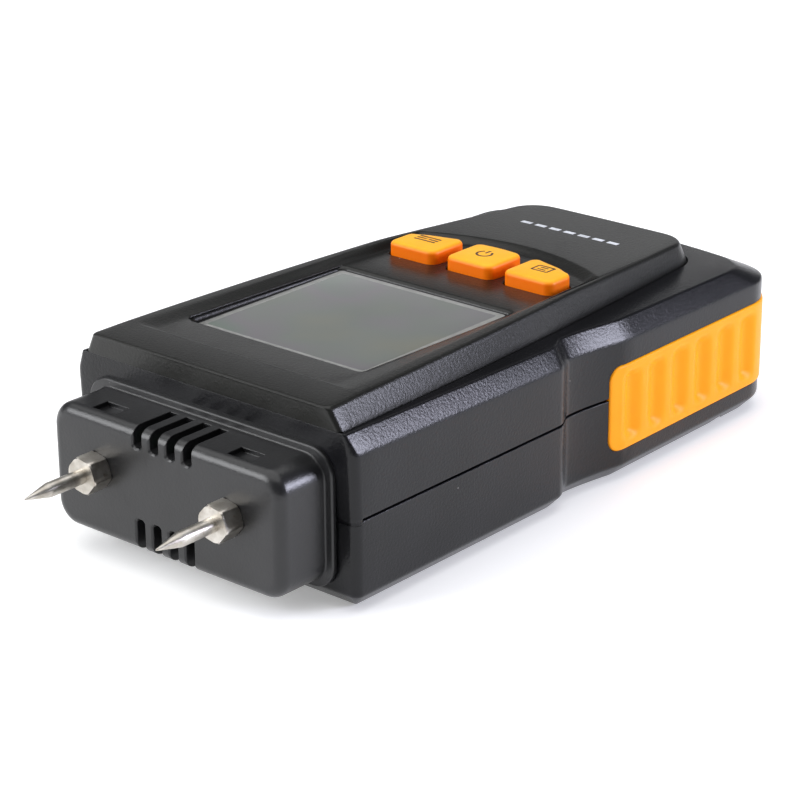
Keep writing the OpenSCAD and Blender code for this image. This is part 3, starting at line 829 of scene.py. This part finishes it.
def add_panel():
    """Face panel with its window and key openings, in one closed mesh."""
    holes = [hole_walls(window_loop, WINDOW_LIP, HOLE_LOW_Z, WINDOW_GAP)]
    for x0, x1 in KEY_SPANS:
        around_key = lambda g, a=x0, b=x1: key_outline(a, b, g)
        holes.append(hole_walls(around_key, KEY_LIP, HOLE_LOW_Z, KEY_GAP))
    under_z = lambda x, y: PANEL_UNDER_Z + FALL * y
    fill = flat_fill([dish_outline(0)] + [h[0][:, :2] for h in holes], lambda x, y: floor_z(y))
    under = flat_fill([panel_outline(0, -2.0)] + [h[-1][:, :2] for h in holes], under_z)
    for h in holes:
        h[-1][:, 2] = under_z(0, h[-1][:, 1])
    skin = loft(panel_skin(), caps=False)
    points, faces = join(skin, fill, under, *[loft(h, caps=False) for h in holes])
    add_piece("top_panel", points, faces, "case", PANEL, "panel_plastic", ["face_panel"], 30)


def add_window():
    """Glass with a chamfered rim over the display, a painted shade line for the dark gap round it, and a
    pale border.
    """
    top = node_box("display_window")[1][2]
    profile = [(-0.02, top - 1.1), (-0.02, top - 0.12), (-0.14, top)]
    rings = [lift(window_loop(g), z) for g, z in profile]
    add_piece("display_glass", *loft(rings), "case", GLASS, "window_clear", ["display_window"])
    # Outer band: painted shade of the gap round the glass.
    add_window_band("display_painted_shade", -0.08, 0.4, top, PAINTED_GAP_SHADE)
    add_window_band("display_border", -0.5, 1.1, top, BORDER)


def add_window_band(name, outer, width, top, material):
    """Thin band on the glass, width wide, with its outer edge at grow = outer: printed for the border,
    painted shade for the dark line.
    """
    inner = outer - width
    profile = ((outer, -0.1), (outer, 0.006), (inner, 0.006), (inner, -0.1))
    band = [lift(window_loop(g), top + h) for g, h in profile]
    add_piece(name, *loft(band, around=True), "case", material, "window_clear")


# ---------- keys ----------

def add_key(node, span):
    """Key cap with a soft crown, a skirt under the panel and its plunger."""
    x0, x1 = span
    low, high = node_box(node)
    top = high[2]
    mid = np.array([(x0 + x1) / 2, (KEY_FRONT + KEY_BACK) / 2])
    edge_z = top - KEY_EDGE_DROP
    rings = [lift(key_outline(x0, x1, 0.0), 29.6), lift(key_outline(x0, x1, 0.0), edge_z)]
    for t in np.linspace(0, math.pi / 2, 7)[1:]:
        loop = key_outline(x0, x1, -KEY_EDGE * (1 - math.cos(t)))
        rings.append(lift(loop, edge_z + KEY_EDGE_RISE * math.sin(t)))
    last = key_outline(x0, x1, -KEY_EDGE)
    for k, rise in ((0.85, 0.05), (0.6, 0.105), (0.3, 0.14), (0.05, 0.15)):
        rings.append(lift(mid + (last - mid) * k, top - 0.15 + rise))
    foot = key_outline(x0, x1, KEY_SKIRT)
    skirt = loft([lift(foot, 28.95), lift(foot, 29.7)])
    plunger = arc(mid[0], mid[1], 1.8, 0, 345, 24)
    stem = loft([lift(plunger, low[2]), lift(plunger, 29.2)])
    points, faces = join(loft(rings), skirt, stem)
    add_piece(node + "_cap", points, faces, node_body(node), KEYS, "key_rubber", [node], 50)


def node_body(node):
    """Body that a CAD node rides on."""
    return frame["nodes"][node]["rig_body"]


# ---------- grips ----------

def side_path():
    """Points along one side of the case from ahead of the grip to the rear, and their distances."""
    loop = case_outline(0)
    half = loop[:len(loop) // 2 + 1]
    keep = half[half[:, 1] < GRIP_FRONT + 4]
    steps = np.linalg.norm(np.diff(keep, axis=0), axis=1)
    return keep, np.concatenate([[0], np.cumsum(steps)])


def grip_grid(side, columns, rows, depth, margin, stand_out):
    """Closed band round the rear corner, margin wider than the grip on all sides.

    stand_out(distance, heights, reach) is how far its skin stands out of the case, where reach is
    the distance to the band's nearest edge. Its back lies depth inside the case.
    """
    path, along = side_path()
    at = lambda s: np.stack([np.interp(s, along, path[:, i]) for i in (0, 1)], 1)
    start = np.interp(-GRIP_FRONT, -path[:, 1], along)
    length = min(GRIP_LEN_MAX, along[-1] - start - GRIP_REAR_GAP)
    s = np.linspace(start - margin, start + length + margin, columns)
    turn = GRIP_CORNER * (1 - np.cos(np.linspace(0.1, math.pi / 2, 9)))
    s = np.sort(np.concatenate([s, s[0] + turn, s[-1] - turn]))
    p = at(s)
    d = at(s + 0.2) - at(s - 0.2)
    d /= np.linalg.norm(d, axis=1)[:, None]
    normal = np.stack([-d[:, 1], d[:, 0]], 1)
    z0, z1 = GRIP_LOW[2] - margin, GRIP_HIGH[2] + margin
    even = np.linspace(0, 1, rows)
    v = 0.5 * (even + 0.5 - 0.5 * np.cos(np.pi * even))
    rings = []
    for i, place in enumerate(s):
        inside = min(place - s[0], s[-1] - place)
        pull = corner_pull(inside)
        z = z0 + pull + (z1 - z0 - 2 * pull) * v
        reach = np.minimum(np.minimum(z - z[0], z[-1] - z), inside)
        stand = stand_out(place - start, z, reach) * np.ones(rows)
        skin = p[i] + normal[i] * stand[:, None]
        back = np.repeat([p[i] - normal[i] * depth], rows, 0)
        rings.append(np.vstack([np.column_stack([skin, z]), np.column_stack([back, z])[::-1]]))
    points, faces = loft(rings)
    return (points * [-1, 1, 1] if side < 0 else points), faces


def corner_pull(inside):
    """How much a rounded corner shortens the band at a distance from its end."""
    r = GRIP_CORNER
    if inside >= r:
        return 0.0
    return r - math.sqrt(max(0.0, r * r - (r - inside) ** 2))


def grip_skin(distance, z, reach):
    """Skin of the insert: a swell with a rounded rim, sunk by the flutes."""
    low, high = GRIP_LOW[2] + FLUTE_END, GRIP_HIGH[2] - FLUTE_END
    sink = np.zeros(len(z))
    for k in range(FLUTES):
        across = abs(distance - FLUTE_FIRST - k * FLUTE_PITCH) / FLUTE_HALF
        if across < 1:
            fade = np.clip(np.minimum(z - low, high - z) / FLUTE_FADE, 0, 1)
            sink += FLUTE_DEPTH * (0.5 + 0.5 * math.cos(math.pi * across)) * (3 * fade ** 2 - 2 * fade ** 3)
    swell = GRIP_SWELL * np.sqrt(np.clip(1 - (1 - np.clip(reach / GRIP_RIM, 0, 1)) ** 2, 0, 1))
    return -0.01 - sink + swell


def add_grip(side):
    """Rubber insert that wraps round the rear corner, with hollow flutes."""
    points, faces = grip_grid(side, 210, 56, GRIP_DEPTH, 0.0, grip_skin)
    node = "right_grip" if side > 0 else "left_grip"
    add_piece(node + "_insert", points, faces, "case", GRIPS, "grip_rubber", [node], 60)


# ---------- sensor head ----------

def head_skin():
    """Rings of the head from the stub inside the case over the flange to its front face."""
    zc, half_h = (HEAD_LOW_Z + HEAD_TOP_Z) / 2, (HEAD_TOP_Z - HEAD_LOW_Z) / 2
    fw, fz0, fz1 = HEAD_HIGH[0], HEAD_LOW[2], HEAD_HIGH[2]
    fc, fh = (fz0 + fz1) / 2, (fz1 - fz0) / 2
    n = 12
    stub = rounded_rect(23, 8.6, 2.8, n)
    flange = rounded_rect(fw, fh, FLANGE_R, n)
    rings = [xz_ring(stub, -6, 14.8), xz_ring(stub, 0.06, 14.8),
             xz_ring(rounded_rect(fw - 0.25, fh - 0.25, FLANGE_R - 0.2, n), 0.06, fc),
             xz_ring(flange, 0.3, fc), xz_ring(flange, FLANGE_OUT - FLANGE_EDGE, fc)]
    for t in np.linspace(0, math.pi / 2, 5)[1:]:
        d = FLANGE_EDGE * (1 - math.cos(t))
        y = FLANGE_OUT - FLANGE_EDGE + FLANGE_EDGE * math.sin(t)
        rings.append(xz_ring(rounded_rect(fw - d, fh - d, FLANGE_R - d, n), y, fc))
    for t in np.linspace(0, math.pi / 2, 4):
        d = FLANGE_FILLET * (1 - math.sin(t))
        loop = rounded_rect(HEAD_HALF_W + d, half_h + d, HEAD_R + d, n)
        rings.append(xz_ring(loop, FLANGE_OUT + FLANGE_FILLET * (1 - math.cos(t)), zc))
    for t in np.linspace(0, math.pi / 2, 9):
        d = HEAD_FRONT_R * (1 - math.cos(t))
        loop = rounded_rect(HEAD_HALF_W - d, half_h - d, HEAD_R - 0.75 * d, n)
        rings.append(xz_ring(loop, HEAD_OUT - HEAD_FRONT_R + HEAD_FRONT_R * math.sin(t), zc))
    return rings


def add_head():
    """Head with its flange, front fillet, vent slots through to the hollow, and cap detents."""
    points, faces = loft(head_skin())
    head = add_piece("head_shell", points, faces, "case", HEAD, "head_plastic", ["sensor_head"], 32)
    carve(head, *block(-12.5, 12.5, -4.5, HEAD_OUT - 2.2, 8, 22.6), sharp=32)
    for x in SLOT_XS:
        carve(head, *slot_cut(x, SLOT_TOP_Z, 30, SLOT_BACK_Y, 1), sharp=32)
        carve(head, *slot_cut(x, SLOT_LOW_Z, -1, SLOT_BACK_Y, -1), sharp=32)
    for x in (-DETENT_X, DETENT_X):
        carve(head, *block(x - 2.4, x + 2.4, 5.6, 8.9, 24.0, 30), sharp=32)


def slot_cut(x, inner_z, outer_z, y0, up):
    """Vent slot with chamfered corners at its inner end and a flared mouth on the front face."""
    w = SLOT_HALF_W
    bend = inner_z + up * w * 0.5
    rows = [(-w, outer_z), (-w, bend), (-w * 0.5, inner_z), (w * 0.5, inner_z), (w, bend), (w, outer_z)]
    loop = np.array([(x + up * dx, z) for dx, z in rows], float)
    middle = np.array([x, (inner_z + outer_z) / 2])
    wide = middle + (loop - middle) * [1 + SLOT_FLARE / w, 1 + 2 * SLOT_FLARE / abs(outer_z - inner_z)]
    return loft([xz_ring(loop, y0, 0), xz_ring(loop, HEAD_OUT - SLOT_FLARE, 0),
                 xz_ring(wide, HEAD_OUT + 0.01, 0), xz_ring(wide, 20, 0)])


# ---------- pins ----------

def spin(profile, n=40):
    """Rings about the pin axis from (radius, y) pairs."""
    a = np.linspace(0, 2 * math.pi, n, endpoint=False)
    return [np.column_stack([r * np.cos(a), np.full(n, y), r * np.sin(a)]) for r, y in profile]


def hex_ring(radius, chamfer, n=72):
    """Hexagonal loop clipped by a circle, for the chamfered ends of a collar."""
    a = np.linspace(0, 2 * math.pi, n, endpoint=False)
    turn = (a - math.radians(HEX_TURN) + math.pi / 6) % (math.pi / 3) - math.pi / 6
    flat = radius * math.cos(math.pi / 6)
    r = np.minimum(flat / np.cos(np.abs(turn) - math.pi / 6), chamfer)
    return np.column_stack([r * np.cos(a), r * np.sin(a)])


def add_pin(side):
    """Hexagonal collar with chamfered corners, needle with its cone point, and the stud behind."""
    y0 = HEAD_OUT + 0.05
    y1 = HEAD_OUT + HEX_LEN
    profile = [(HEX_R - 0.28, y0), (HEX_R + 0.01, y0 + 0.2), (HEX_R + 0.01, y1 - 0.28), (HEX_R - 0.3, y1)]
    collar = loft([np.insert(hex_ring(HEX_R, c), 1, y, axis=1) for c, y in profile])
    tip = PIN_TIP
    cone = tip - POINT_LEN
    needle = loft(spin([(NEEDLE_R, y1 - 0.6), (NEEDLE_R, cone - 0.15), (NEEDLE_R - 0.04, cone + 0.12),
                        (0.62, tip - 2.25), (0.2, tip - 0.35), (0.12, tip - 0.1), (0.04, tip)]))
    stud = loft(spin([(STUD_R - 0.25, HEAD_OUT - 6), (STUD_R, HEAD_OUT - 5.7), (STUD_R, y0 + 0.2)], 24))
    points, faces = join(collar, needle, stud)
    points = points + [side * PIN_X, 0, PIN_Z]
    node = "right_pin" if side > 0 else "left_pin"
    add_piece(node + "_turned", points, faces, node_body(node), STEEL, "pin_steel", [node], 25)


# ---------- printed symbols ----------

def strip(path, width, place, height):
    """Thin printed line along a 2D path, laid on a surface given by height(x, y)."""
    path = np.array(path, float)
    d = np.gradient(path, axis=0)
    d = d / np.linalg.norm(d, axis=1)[:, None]
    side = np.stack([-d[:, 1], d[:, 0]], 1) * width / 2
    rows = []
    for shift, rise in ((-side, -0.1), (-side, PRINT_RISE), (side, PRINT_RISE), (side, -0.1)):
        q = path + shift + place
        rows.append(np.column_stack([q, [height(x, y) + rise for x, y in q]]))
    grid = np.stack(rows, 1)
    return loft(list(grid))


def key_marks(kind):
    """Generic symbols: sliders, a power mark, and a small list."""
    if kind == "power":
        turns = np.radians(np.linspace(35, 325, 26))
        ring = 1.35 * np.stack([np.sin(turns), -np.cos(turns)], 1)
        return [(ring, 0.42), ([[0, -1.75], [0, -0.2]], 0.42)]
    if kind == "set":
        return [([[-2.3, y], [2.3, y]], 0.42) for y in (-0.9, 0.0, 0.9)]
    box = [[-1.6, -1.2], [1.6, -1.2], [1.6, 1.2], [-1.6, 1.2], [-1.6, -1.2]]
    edges = [([box[i], box[i + 1]], 0.35) for i in range(4)]
    return edges + [([[-0.8, y], [0.8, y]], 0.4) for y in (-0.45, 0.45)]


def add_key_print(node, kind, span):
    """Symbol printed on a key, a hair above its crown."""
    top = node_box(node)[1][2]
    mid = np.array([(span[0] + span[1]) / 2, (KEY_FRONT + KEY_BACK) / 2])
    parts = [strip(p, w, mid, lambda x, y: top - 0.02) for p, w in key_marks(kind)]
    points, faces = join(*parts)
    points[:, 2] = np.minimum(points[:, 2], top - 0.0005)
    add_piece(kind + "_print", points, faces, node_body(node), PRINT, "key_rubber")


def add_deck_mark():
    """Row of plain dashes on the rear deck."""
    parts = []
    for i in range(DASHES):
        x = (i - (DASHES - 1) / 2) * DASH_PITCH
        dash = [[x - DASH_HALF, 0], [x + DASH_HALF, 0]]
        parts.append(strip(dash, DASH_WIDE, np.array([0, DASH_Y]), lambda a, b: float(top_z(b))))
    points, faces = join(*parts)
    add_piece("deck_dashes", points, faces, "case", WHITE_PRINT, "panel_plastic")


# ---------- carried-over nodes ----------

def dress(node, material):
    """Gives a CAD node its finish."""
    obj = frame["nodes"][node]
    obj.data.materials.clear()
    obj.data.materials.append(material)


def dress_inside():
    """Finishes of the parts that keep their CAD shape."""
    finishes = {
        "battery_cover": CASE,
        "pin_inserts": plain("brass", (0.72, 0.52, 0.24), 0.3, 1.0),
        "lcd_panel": plain("lcd", (0.3, 0.31, 0.28), 0.2),
        "display_frame": plain("frame_white", (0.75, 0.75, 0.7), 0.5),
        "backlight": plain("diffuser", (0.85, 0.85, 0.8), 0.25),
        "zebra_strips": plain("zebra", (0.6, 0.34, 0.36), 0.6),
        "main_board": plain("board", (0.02, 0.13, 0.045), 0.3, 0.0, 900),
        "board_chips": plain("chips", (0.015, 0.015, 0.016), 0.45),
        "air_sensor": plain("sensor", (0.7, 0.7, 0.67), 0.4),
        "battery_cells": plain("cell_jacket_blue", (0.05, 0.14, 0.32), 0.25),
        "power_leads": plain("wire", (0.5, 0.02, 0.015), 0.4),
        "case_screws": plain("screw_dark", (0.08, 0.08, 0.085), 0.38, 1.0),
        "board_screws_set": plain("screw_bright", (0.6, 0.59, 0.56), 0.3, 1.0),
    }
    finishes["pin_leads"] = finishes["pin_inserts"]
    finishes["key_switches"] = finishes["buzzer"] = finishes["board_chips"]
    nickel = plain("nickel", (0.62, 0.6, 0.56), 0.28, 1.0)
    finishes["battery_springs"] = finishes["contact_plates"] = nickel
    for node, material in finishes.items():
        dress(node, material)


# ---------- stage ----------

def add_camera():
    """Camera in front of the meter on its left, a little above it."""
    az, el, roll = (math.radians(a) for a in (CAMERA_AZIMUTH, CAMERA_ELEVATION, CAMERA_ROLL))
    back = Vector((math.sin(az) * math.cos(el), -math.cos(az) * math.cos(el), math.sin(el)))
    target = Vector(CAMERA_TARGET) * MM
    right = (-back).cross(Vector((0, 0, 1))).normalized()
    up = right.cross(-back)
    turned_right = right * math.cos(roll) + up * math.sin(roll)
    turned_up = up * math.cos(roll) - right * math.sin(roll)
    data = bpy.data.cameras.new("camera")
    data.sensor_width = SENSOR
    data.lens = FOCAL_PER_WIDTH * SENSOR
    data.clip_start, data.clip_end = 0.01, 20
    camera = bpy.data.objects.new("camera", data)
    rotation = Matrix((turned_right, turned_up, back)).transposed().to_4x4()
    camera.matrix_world = Matrix.Translation(target + back * CAMERA_DISTANCE) @ rotation
    bpy.context.scene.collection.objects.link(camera)
    bpy.context.scene.camera = camera


def add_light(name, direction, distance, size, power, colour=(1, 1, 1)):
    """Soft rectangular light in a direction from the meter, turned towards it."""
    data = bpy.data.lights.new(name, "AREA")
    data.shape = "RECTANGLE"
    data.size, data.size_y = size
    data.energy = power
    data.color = colour
    lamp = bpy.data.objects.new(name, data)
    offset = Vector(direction).normalized() * distance
    lamp.location = offset + LIGHT_AIM
    lamp.rotation_euler = (lamp.location - LIGHT_AIM).to_track_quat("Z", "Y").to_euler()
    bpy.context.scene.collection.objects.link(lamp)


def add_floor():
    """Plain pale floor, a hair below the meter's back."""
    mesh = bpy.data.meshes.new("floor")
    corners = [(-FLOOR_HALF, -FLOOR_HALF), (FLOOR_HALF, -FLOOR_HALF),
               (FLOOR_HALF, FLOOR_HALF), (-FLOOR_HALF, FLOOR_HALF)]
    mesh.from_pydata([(x, y, FLOOR_Z) for x, y in corners], [], [(0, 1, 2, 3)])
    floor = bpy.data.objects.new("floor", mesh)
    bpy.context.scene.collection.objects.link(floor)
    m = Nodes("floor_white")
    pale = m.ramp(m.noise(6, 2), [(0.3, (0.90, 0.90, 0.90)), (0.7, (0.93, 0.93, 0.93))])
    m.set(Base_Color=pale, Roughness=0.9, Emission_Color=(1.0, 1.0, 1.0), Emission_Strength=0.3)
    floor.data.materials.append(m.material)


def add_surround():
    """Dim surround, overhead softbox, front fill, low side panel and a card behind the meter."""
    world = bpy.data.worlds.new("surround")
    world.use_nodes = True
    world.node_tree.nodes["Background"].inputs["Color"].default_value = (0.9, 0.93, 1.0, 1)
    world.node_tree.nodes["Background"].inputs["Strength"].default_value = 0.14
    bpy.context.scene.world = world
    add_light("overhead", (0.1, 0.1, 1.0), 1.1, (1.7, 1.7), 14.5)
    add_light("front_fill", (0.55, 0.75, 0.42), 1.0, (0.7, 0.5), 8, (0.97, 0.98, 1.0))
    add_light("side_panel", (-0.802, -0.521, 0.292), 0.9, (0.32, 0.26), 6.5, (0.82, 0.83, 1.0))
    add_light("back_card", (0.607, -0.705, 0.22), 1.5, (1.6, 0.32), 1.2)
    bpy.context.scene.view_settings.view_transform = "Standard"


add_camera()
add_floor()
add_surround()
dress_inside()
add_upper_shell()
add_lower_shell()
add_panel()
add_window()
for key, kind, span in zip(KEY_NAMES, ("set", "power", "menu"), KEY_SPANS):
    add_key(key, span)
    add_key_print(key, kind, span)
for side in (-1, 1):
    add_grip(side)
    add_pin(side)
add_head()
add_deck_mark()
